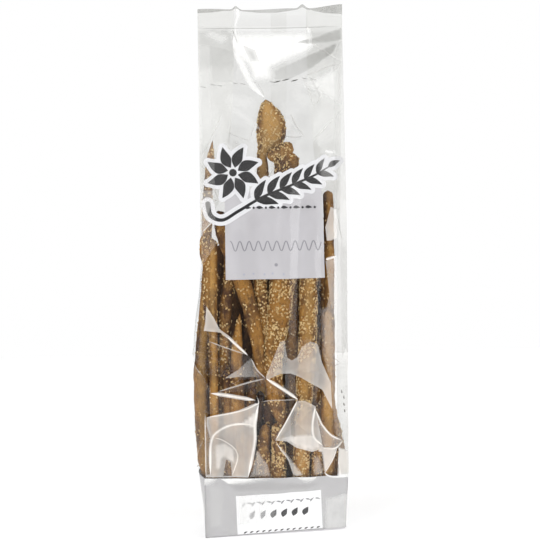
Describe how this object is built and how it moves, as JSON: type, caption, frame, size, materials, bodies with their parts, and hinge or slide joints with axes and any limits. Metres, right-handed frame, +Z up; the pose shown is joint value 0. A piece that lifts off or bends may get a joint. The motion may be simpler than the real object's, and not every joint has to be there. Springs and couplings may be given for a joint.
{
  "type": "bag of sesame breadsticks",
  "caption": "Sealed clear film bag with side gussets and a flat folded base, standing upright and filled with long sesame breadsticks.",
  "frame": {"origin": "middle of the bag's box, on the plane that the folded base stands on", "axes": "+Z up along the sticks to the sealed top, +X to the right as seen from the front, front face towards -Y"},
  "size_m": [0.11, 0.057, 0.37],
  "materials": {
    "film": "clear glossy film",
    "breadstick": "baked crust, matt",
    "sesame": "toasted seed, satin",
    "print": "ink printed on the inside of the film"
  },
  "bodies": {
    "root": {"bag": "film"}
  },
  "joints": []
}
